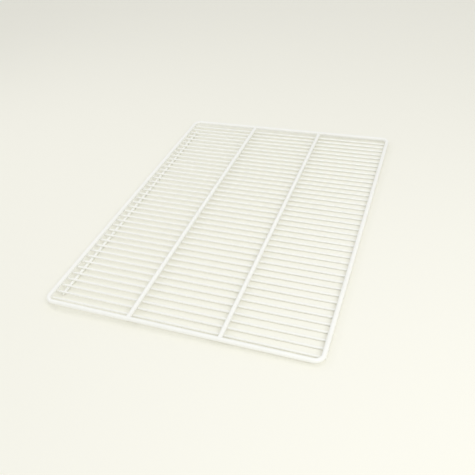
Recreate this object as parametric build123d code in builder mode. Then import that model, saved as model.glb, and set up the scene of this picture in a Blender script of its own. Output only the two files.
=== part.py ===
# Welded wire refrigerator shelf, lying with its heavy wires uppermost.
# A bent frame wire and two supports share the top level, the grid wires are welded across
# beneath them, and a stop rail is welded under the grid along the left edge.
# X runs along the grid wires, Y along the long sides, Z up; origin at the bottom centre.
import os
from math import floor

from build123d import *

os.makedirs("parts", exist_ok=True)

# Driving dimensions in millimetres; wire diameters include the white coating
frame_width = 450.0  # between the centre lines of the two long sides
frame_length = 620.0  # between the centre lines of the two short sides
frame_wire = 7.0
corner_radius = 13.0  # bend of the frame wire, at its centre line
support_wire = 7.0
support_spacing = 150.0  # between the centre lines of the two supports
support_seat_depth = 0.4  # how far a support's end is pressed into the frame's side
grid_wire = 3.6
grid_pitch = 15.24
grid_bend_reach = 0.4  # how far into a corner's bend the first grid wire may lie
grid_tip_inset = 0.5  # how far a grid wire stops short of the frame's outer edge
rail_wire = 5.0
rail_inset = 12.0  # from the left long side's centre line
rail_skipped_wires = 1  # grid wires at each end that the rail doesn't reach
rail_overhang = 1.5  # rail beyond the last grid wire that it is welded to
rail_tip_chamfer = 0.8

# Levels of the wires' centre lines: each layer rests on the one below it
rail_level = rail_wire / 2
grid_level = rail_wire + grid_wire / 2
grid_top = rail_wire + grid_wire
frame_level = grid_top + frame_wire / 2
support_level = grid_top + support_wire / 2

# Grid wires: as many as fit between the corners at the pitch, centred on the length
grid_end_room = corner_radius - grid_bend_reach
grid_count = floor((frame_length - 2 * grid_end_room) / grid_pitch) + 1
grid_places = [(i - (grid_count - 1) / 2) * grid_pitch for i in range(grid_count)]
grid_length = frame_width + frame_wire - 2 * grid_tip_inset

# Supports reach from one short side of the frame to the other
support_length = frame_length - frame_wire + 2 * support_seat_depth
support_places = {"left_support": -support_spacing / 2, "right_support": support_spacing / 2}

# The rail runs between the outermost grid wires that it is welded to
rail_x = rail_inset - frame_width / 2
rail_length = 2 * (grid_places[-1 - rail_skipped_wires] + rail_overhang)


def save(piece, name):
    piece.label = name
    export_step(piece, f"parts/{name}.step")


# Outer frame: one wire bent round four corners and butt-welded into a closed loop
half_width = frame_width / 2
half_length = frame_length / 2
frame_corners = [
    (-half_width, -half_length),
    (half_width, -half_length),
    (half_width, half_length),
    (-half_width, half_length),
]
with BuildPart() as outer_frame:
    with BuildLine(Plane.XY.offset(frame_level)) as frame_path:
        FilletPolyline(*frame_corners, radius=corner_radius, close=True)
    with BuildSketch(Plane(frame_path.line @ 0, z_dir=frame_path.line % 0)):
        Circle(frame_wire / 2)
    sweep(path=frame_path.line)
save(outer_frame.part, "outer_frame")

# Supports: straight wires whose square ends are pressed into the frame's inner sides
for name, place in support_places.items():
    with BuildPart() as support:
        with BuildSketch(Plane.XZ):
            with Locations((place, support_level)):
                Circle(support_wire / 2)
        extrude(amount=support_length / 2, both=True)
        add(outer_frame.part, mode=Mode.SUBTRACT)
    save(support.part, name)

# Stop rail: a straight wire with softened ends
with BuildPart() as stop_rail:
    with BuildSketch(Plane.XZ):
        with Locations((rail_x, rail_level)):
            Circle(rail_wire / 2)
    extrude(amount=rail_length / 2, both=True)
    chamfer(stop_rail.edges().filter_by(GeomType.CIRCLE), rail_tip_chamfer)
save(stop_rail.part, "stop_rail")

# Grid wires: straight wires that cross under the frame and the supports and over the rail
for number, place in enumerate(grid_places, start=1):
    with BuildPart() as wire:
        with BuildSketch(Plane.YZ):
            with Locations((place, grid_level)):
                Circle(grid_wire / 2)
        extrude(amount=grid_length / 2, both=True)
    save(wire.part, f"grid_wire_{number:02d}")
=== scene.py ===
# White coated wire refrigerator shelf on a pale floor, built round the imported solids.
# The grid wires and the rail keep their solids. The outer frame and the supports are drawn again in
# the same form, with smooth bends and a fillet at each end of a support. Added to them are the weld
# beads that the coat rounds over where wires cross, and the rounded tips of the grid wires and rail.
from math import asin, cos, pi, radians, sin, sqrt

import bmesh
import bpy
from mathutils import Matrix, Vector


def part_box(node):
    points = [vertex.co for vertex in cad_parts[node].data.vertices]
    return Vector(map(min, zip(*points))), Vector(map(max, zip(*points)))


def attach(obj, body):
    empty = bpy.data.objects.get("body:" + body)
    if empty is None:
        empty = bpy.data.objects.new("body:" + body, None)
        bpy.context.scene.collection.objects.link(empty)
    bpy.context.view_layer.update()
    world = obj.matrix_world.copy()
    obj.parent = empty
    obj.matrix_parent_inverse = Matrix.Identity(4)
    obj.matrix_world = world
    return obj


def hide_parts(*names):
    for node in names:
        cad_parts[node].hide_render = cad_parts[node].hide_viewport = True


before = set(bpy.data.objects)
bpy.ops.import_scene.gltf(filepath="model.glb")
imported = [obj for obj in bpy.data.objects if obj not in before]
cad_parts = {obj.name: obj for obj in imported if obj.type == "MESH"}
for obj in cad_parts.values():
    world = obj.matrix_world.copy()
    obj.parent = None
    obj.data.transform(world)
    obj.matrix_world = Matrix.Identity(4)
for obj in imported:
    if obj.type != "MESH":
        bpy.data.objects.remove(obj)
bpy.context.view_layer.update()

mm = 0.001
upwards = Vector((0, 0, 1))
coat_slot = "white_coat"

# Outer frame's bends
frame_corner_radius = 13.0 * mm  # at the wire's centre line, as on the solid
frame_bend_steps = 20
frame_sides = 36

# Weld beads at the crossings
bead_gap = 1.1 * mm  # room between two crossing wires that the bead fills
bead_waist = 0.16  # how far the bead's side draws in, as a share of its reach
bead_sink = 0.02 * mm  # how far its rims go into the wires
bead_furthest = 0.97  # most that it reaches over a wire, as a share of the wire's radius
bead_trials = 40  # halvings that find its reach
bead_sides = 28
bead_rows = 7

# Fillets where the supports meet the frame's short sides
fillet_reach = 1.5 * mm  # along the support
fillet_spread = 1.3 * mm  # along the frame
fillet_crest_turn = 0.2  # radians from the frame wire's crest at which the fillet stops
fillet_sink = 0.06 * mm  # how far its rim goes into the frame wire
fillet_pull = 0.6  # how long its curve follows each wire before it turns, as a share of its size
fillet_sides = 48
fillet_rows = 8

# Rounded tips
grid_tip_rise = 0.45 * mm
rail_tip_chamfer = 0.8 * mm  # as cut on the solid
rail_tip_sink = 0.3 * mm  # how far down the chamfer its dome starts
rail_tip_rise = 0.6 * mm
tip_sides = 24
tip_rows = 5

# Coat. Each noise has a scale, per metre, and a level of detail
coat_colour = (0.960, 0.962, 0.920)
coat_colour_thin = (0.938, 0.940, 0.897)
tone_noise = (38, 3)
tone_thin_until = 0.3  # value of the noise up to which the coat has its thin colour
tone_full_from = 0.62  # value from which it has its full colour
gloss_noise = (160, 2)
roughness_least = 0.24
roughness_most = 0.40
ripple_noise = (620, 2)
ripple_strength = 0.25
ripple_height = 0.08 * mm
sharp_angle = radians(35)  # an edge of a solid that turns more than this stays sharp

# Floor
floor_colour = (0.934, 0.924, 0.838)
floor_roughness = 0.85
floor_specular = 0.15
floor_width = 14.0  # metres
floor_clearance = 0.05 * mm

# Light: the share of a white surface's brightness that the sky and each lamp give
sky_level = 0.765
sky_colour = (1.0, 1.0, 1.0)
lamps = {
    # name: (direction from the shelf, distance in metres, width in metres, level)
    "key_lamp": ((0.56, -0.50, 0.70), 1.8, 0.80, 0.13),
    "left_lamp": ((-0.83, 0.10, 0.80), 1.4, 0.14, 0.035),
    "overhead_lamp": ((0.0, -0.04, 1.0), 1.8, 0.26, 0.055),
}

# Camera, in metres in the shelf's own frame. The photograph is 475 pixels square
camera_place = Vector((0.3242, -0.7729, 0.6128))
camera_aim = Vector((0.0222, -0.0848, 0.0121))
camera_roll = radians(-6.13)
camera_focal_pixels = 547.4
camera_clip_start = 0.01
image_pixels = 475


def middle(node):
    """Centre of a solid's box."""
    low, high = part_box(node)
    return (low + high) / 2


def size(node):
    """Extents of a solid's box."""
    low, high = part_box(node)
    return high - low


# Sizes and levels of the solids
grid_nodes = sorted(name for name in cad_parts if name.startswith("grid_wire_"))
grid_radius = size(grid_nodes[0]).z / 2
grid_level = middle(grid_nodes[0]).z
grid_top = grid_level + grid_radius
grid_bottom = grid_level - grid_radius
frame_low, frame_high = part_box("outer_frame")
frame_radius = size("outer_frame").z / 2
rail_radius = size("stop_rail").z / 2


def make_coat():
    """Dipped white coat: slightly uneven in tone and gloss, with a fine ripple."""
    material = bpy.data.materials.new(coat_slot)
    material.use_nodes = True
    nodes = material.node_tree.nodes
    links = material.node_tree.links
    shader = nodes["Principled BSDF"]
    place = nodes.new("ShaderNodeTexCoord")

    def noise(scale, detail):
        node = nodes.new("ShaderNodeTexNoise")
        node.inputs["Scale"].default_value = scale
        node.inputs["Detail"].default_value = detail
        links.new(place.outputs["Object"], node.inputs["Vector"])
        return node

    tone = nodes.new("ShaderNodeValToRGB")
    thin, full = tone.color_ramp.elements
    thin.position = tone_thin_until
    thin.color = (*coat_colour_thin, 1)
    full.position = tone_full_from
    full.color = (*coat_colour, 1)
    links.new(noise(*tone_noise).outputs["Fac"], tone.inputs["Fac"])
    links.new(tone.outputs["Color"], shader.inputs["Base Color"])

    gloss = nodes.new("ShaderNodeMapRange")
    gloss.inputs["To Min"].default_value = roughness_least
    gloss.inputs["To Max"].default_value = roughness_most
    links.new(noise(*gloss_noise).outputs["Fac"], gloss.inputs["Value"])
    links.new(gloss.outputs["Result"], shader.inputs["Roughness"])

    ripple = nodes.new("ShaderNodeBump")
    ripple.inputs["Strength"].default_value = ripple_strength
    ripple.inputs["Distance"].default_value = ripple_height
    links.new(noise(*ripple_noise).outputs["Fac"], ripple.inputs["Height"])
    links.new(ripple.outputs["Normal"], shader.inputs["Normal"])
    return material


coat = make_coat()


def coat_solids():
    """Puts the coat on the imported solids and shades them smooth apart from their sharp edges."""
    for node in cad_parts.values():
        mesh = node.data
        mesh.shade_smooth()
        mesh.set_sharp_from_angle(angle=sharp_angle)
        mesh.materials.clear()
        mesh.materials.append(coat)


def add_piece(name, fill):
    """Makes a smooth coated piece of the shelf from a bmesh that fill builds."""
    shape = bmesh.new()
    fill(shape)
    bmesh.ops.recalc_face_normals(shape, faces=shape.faces)
    mesh = bpy.data.meshes.new(name)
    shape.to_mesh(mesh)
    shape.free()
    mesh.shade_smooth()
    mesh.materials.append(coat)
    piece = bpy.data.objects.new(name, mesh)
    bpy.context.scene.collection.objects.link(piece)
    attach(piece, "root")
    return piece


def even_angles(count):
    """Angles that divide a full turn evenly."""
    return [2 * pi * i / count for i in range(count)]


def add_ring(shape, centre, across, radius, sides):
    """Upright ring of vertices round centre. across is the level direction in its plane."""
    ring = []
    for angle in even_angles(sides):
        spoke = across * cos(angle) + upwards * sin(angle)
        ring.append(shape.verts.new(centre + spoke * radius))
    return ring


def join_rings(shape, rings):
    """Quads between neighbouring closed rings of vertices."""
    for lower, upper in zip(rings, rings[1:]):
        count = len(lower)
        for i in range(count):
            j = (i + 1) % count
            shape.faces.new((lower[i], lower[j], upper[j], upper[i]))


def close_ring(shape, ring, centre):
    """Fan of triangles from a ring to one point."""
    hub = shape.verts.new(centre)
    count = len(ring)
    for i in range(count):
        shape.faces.new((ring[i], ring[(i + 1) % count], hub))


def frame_stations():
    """Places on the frame wire's centre line, each with the direction out of the loop there."""
    centre = middle("outer_frame")
    half = size("outer_frame") / 2
    hub_inset = frame_radius + frame_corner_radius
    corners = ((1, 1), (-1, 1), (-1, -1), (1, -1))
    stations = []
    for quarter, (side_x, side_y) in enumerate(corners):
        hub = centre + Vector((side_x * (half.x - hub_inset), side_y * (half.y - hub_inset), 0))
        for step in range(frame_bend_steps + 1):
            angle = pi / 2 * (quarter + step / frame_bend_steps)
            outwards = Vector((cos(angle), sin(angle), 0))
            stations.append((hub + outwards * frame_corner_radius, outwards))
    return stations


def build_frame(shape):
    """The outer frame's wire with smoothly rounded bends."""
    rings = []
    for place, outwards in frame_stations():
        rings.append(add_ring(shape, place, outwards, frame_radius, frame_sides))
    join_rings(shape, rings + [rings[0]])


def drop(radius, offset):
    """How far a round wire's surface falls away at this offset from its crest."""
    return radius - sqrt(radius * radius - offset * offset)


def bead_reach(heavy_radius, thin_radius, angle):
    """Distance from a crossing's centre at which the room between the wires is bead_gap."""
    across = abs(cos(angle))
    along = abs(sin(angle))
    low = 0.0
    high = bead_furthest / max(across / heavy_radius, along / thin_radius)
    for _ in range(bead_trials):
        trial = (low + high) / 2
        room = drop(heavy_radius, trial * across) + drop(thin_radius, trial * along)
        if room < bead_gap:
            low = trial
        else:
            high = trial
    return low


def add_bead(shape, contact, heavy_radius, thin_radius, heavy_side):
    """Bead between a heavy wire along Y and a thin wire along X that touch at contact.
    heavy_side is 1 where the heavy wire lies above and -1 where it lies below."""
    angles = even_angles(bead_sides)
    reaches = [bead_reach(heavy_radius, thin_radius, angle) for angle in angles]
    rings = []
    for row in range(bead_rows + 1):
        share = row / bead_rows
        ring = []
        for angle, reach in zip(angles, reaches):
            distance = reach * (1 - bead_waist * sin(pi * share))
            x = distance * cos(angle)
            y = distance * sin(angle)
            low = -drop(thin_radius, y) - bead_sink
            high = drop(heavy_radius, x) + bead_sink
            z = low + (high - low) * (1 - cos(pi * share)) / 2
            ring.append(shape.verts.new(contact + Vector((x, y, heavy_side * z))))
        rings.append(ring)
    join_rings(shape, rings)
    close_ring(shape, rings[0], contact)
    close_ring(shape, rings[-1], contact)


def build_beads_above(carrier_x, heavy_radius):
    """Beads under a heavy wire along Y at carrier_x, which lies on the grid."""
    def fill(shape):
        for node in grid_nodes:
            contact = Vector((carrier_x, middle(node).y, grid_top))
            add_bead(shape, contact, heavy_radius, grid_radius, 1)
    return fill


def build_rail_beads(shape):
    """Beads on the rail, which lies under the grid, at each wire that it reaches."""
    rail_low, rail_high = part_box("stop_rail")
    for node in grid_nodes:
        place = middle(node).y
        if rail_low.y < place < rail_high.y:
            contact = Vector((middle("stop_rail").x, place, rail_high.z))
            add_bead(shape, contact, rail_radius, grid_radius, -1)


def bezier(points, share):
    """Point at this share of a cubic curve with the four given control points."""
    rest = 1 - share
    near = points[0] * rest ** 3 + points[1] * (3 * rest ** 2 * share)
    far = points[2] * (3 * rest * share ** 2) + points[3] * share ** 3
    return near + far


def fillet_curve(angle, support_radius, tip_gap):
    """Control points of the fillet's section at this angle round the support, from its crest.
    X runs along the frame, Y from the frame's centre line into the shelf, Z up."""
    side = sin(angle)
    up = cos(angle)
    start_y = max(support_radius * abs(side), tip_gap) + fillet_reach
    start = Vector((support_radius * side, start_y, support_radius * up))
    start_pull = Vector((0, -fillet_pull * (fillet_reach + tip_gap * up * up), 0))
    # The finish lies just inside the frame wire, at the angle turn from its crest
    turn = max(asin(abs(side)) - fillet_spread / frame_radius * abs(up), fillet_crest_turn)
    rise = 1 if up >= 0 else -1
    depth = frame_radius - fillet_sink
    finish = Vector((
        (support_radius + fillet_spread * abs(side)) * side,
        depth * sin(turn),
        depth * cos(turn) * rise,
    ))
    round_frame = Vector((0, cos(turn), -sin(turn) * rise)) * abs(up)
    along_frame = Vector((-side, 0, 0))
    finish_pull = (round_frame + along_frame) * (fillet_pull * fillet_spread)
    return start, start + start_pull, finish + finish_pull, finish


def frame_line_at(end_side):
    """Place along Y of a short frame side's centre line: -1 is the near side and 1 the far one."""
    return frame_low.y + frame_radius if end_side < 0 else frame_high.y - frame_radius


def support_end_rings(support, end_side):
    """Rings of points on a support's filleted end, from its straight run to the short frame side."""
    support_radius = size(support).x / 2
    axis = middle(support)
    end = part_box(support)[0 if end_side < 0 else 1].y
    frame_line = frame_line_at(end_side)
    inwards = -end_side
    tip_gap = (end - frame_line) * inwards
    curves = [fillet_curve(angle, support_radius, tip_gap) for angle in even_angles(fillet_sides)]
    rings = []
    for row in range(fillet_rows + 1):
        ring = []
        for curve in curves:
            point = bezier(curve, row / fillet_rows)
            ring.append(Vector((axis.x + point.x, frame_line + inwards * point.y, axis.z + point.z)))
        rings.append(ring)
    return rings


def build_support(support):
    """A support's wire with a fillet at each end. Its hidden tips lie inside the frame wire."""
    def fill(shape):
        axis = middle(support)
        near = support_end_rings(support, -1)
        far = support_end_rings(support, 1)
        rings = []
        for points in near[::-1] + far:
            rings.append([shape.verts.new(point) for point in points])
        join_rings(shape, rings)
        close_ring(shape, rings[0], (axis.x, frame_line_at(-1), axis.z))
        close_ring(shape, rings[-1], (axis.x, frame_line_at(1), axis.z))
    return fill


def add_tip(shape, centre, radius, rise, outwards):
    """Low dome on a wire's cut end. outwards is the unit direction out of the end."""
    across = outwards.cross(upwards)
    rings = []
    for row in range(tip_rows):
        turn = pi / 2 * row / tip_rows
        place = centre + outwards * (rise * sin(turn))
        rings.append(add_ring(shape, place, across, radius * cos(turn), tip_sides))
    join_rings(shape, rings)
    close_ring(shape, rings[-1], centre + outwards * rise)
    close_ring(shape, rings[0], centre - outwards * rise)


def build_grid_tips(shape):
    """Domes on both ends of every grid wire."""
    for node in grid_nodes:
        low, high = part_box(node)
        centre = middle(node)
        for x, outwards in ((low.x, Vector((-1, 0, 0))), (high.x, Vector((1, 0, 0)))):
            end = Vector((x, centre.y, centre.z))
            add_tip(shape, end, grid_radius, grid_tip_rise, outwards)


def build_rail_tips(shape):
    """Domes on both ends of the rail, each started part of the way down the chamfer."""
    low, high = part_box("stop_rail")
    centre = middle("stop_rail")
    tip_radius = rail_radius - rail_tip_chamfer + rail_tip_sink
    for y, outwards in ((low.y, Vector((0, -1, 0))), (high.y, Vector((0, 1, 0)))):
        end = Vector((centre.x, y - rail_tip_sink * outwards.y, centre.z))
        add_tip(shape, end, tip_radius, rail_tip_rise, outwards)


def make_floor():
    """Pale floor. The shelf rests on its rail and on the grid wires' right-hand tips, so the floor
    is tilted a little under it."""
    rail = middle("stop_rail").x
    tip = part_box(grid_nodes[0])[1].x
    slope = grid_bottom / (tip - rail)
    half = floor_width / 2
    corners = []
    for x, y in ((-half, -half), (half, -half), (half, half), (-half, half)):
        corners.append((x, y, (x - rail) * slope - floor_clearance))
    mesh = bpy.data.meshes.new("floor")
    mesh.from_pydata(corners, [], [(0, 1, 2, 3)])
    floor = bpy.data.objects.new("floor", mesh)
    bpy.context.scene.collection.objects.link(floor)
    material = bpy.data.materials.new("pale_floor")
    material.use_nodes = True
    shader = material.node_tree.nodes["Principled BSDF"]
    shader.inputs["Base Color"].default_value = (*floor_colour, 1)
    shader.inputs["Roughness"].default_value = floor_roughness
    shader.inputs["Specular IOR Level"].default_value = floor_specular
    mesh.materials.append(material)


def make_light():
    """Even sky with soft lamps that face the shelf's centre."""
    world = bpy.data.worlds.new("soft_sky")
    world.use_nodes = True
    sky = world.node_tree.nodes["Background"]
    sky.inputs["Color"].default_value = (*sky_colour, 1)
    sky.inputs["Strength"].default_value = sky_level
    bpy.context.scene.world = world
    for name, (direction, distance, width, level) in lamps.items():
        data = bpy.data.lights.new(name, "AREA")
        data.shape = "DISK"
        data.size = width
        way = Vector(direction).normalized()
        # Power for which a white level surface at the shelf's centre reads as bright as level
        data.energy = level * pi ** 2 * distance ** 2 / way.z
        lamp = bpy.data.objects.new(name, data)
        lamp.location = way * distance
        lamp.rotation_euler = way.to_track_quat("Z", "Y").to_euler()
        bpy.context.scene.collection.objects.link(lamp)


def make_camera():
    """Camera at the photograph's place, aim, roll and focal length."""
    data = bpy.data.cameras.new("camera")
    data.sensor_fit = "HORIZONTAL"
    data.lens = data.sensor_width * camera_focal_pixels / image_pixels
    data.clip_start = camera_clip_start
    camera = bpy.data.objects.new("camera", data)
    forward = (camera_aim - camera_place).normalized()
    sideways = forward.cross(upwards).normalized()
    upright = sideways.cross(forward)
    right = sideways * cos(camera_roll) + upright * sin(camera_roll)
    up = right.cross(forward)
    turn = Matrix((right, up, -forward)).transposed().to_4x4()
    camera.matrix_world = Matrix.Translation(camera_place) @ turn
    bpy.context.scene.collection.objects.link(camera)
    bpy.context.scene.camera = camera


# The shelf
coat_solids()
smooth_frame = add_piece("bent_frame_wire", build_frame)
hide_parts("outer_frame")
left_line = frame_low.x + frame_radius
right_line = frame_high.x - frame_radius
add_piece("left_side_weld_beads", build_beads_above(left_line, frame_radius))
add_piece("right_side_weld_beads", build_beads_above(right_line, frame_radius))
add_piece("rail_weld_beads", build_rail_beads)
add_piece("grid_wire_tips", build_grid_tips)
add_piece("rail_tips", build_rail_tips)
for support in ("left_support", "right_support"):
    smooth_support = add_piece(support + "_wire", build_support(support))
    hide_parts(support)
    add_piece(support + "_weld_beads", build_beads_above(middle(support).x, size(support).x / 2))

# Its surroundings
make_floor()
make_light()
make_camera()
bpy.context.scene.view_settings.view_transform = "Standard"
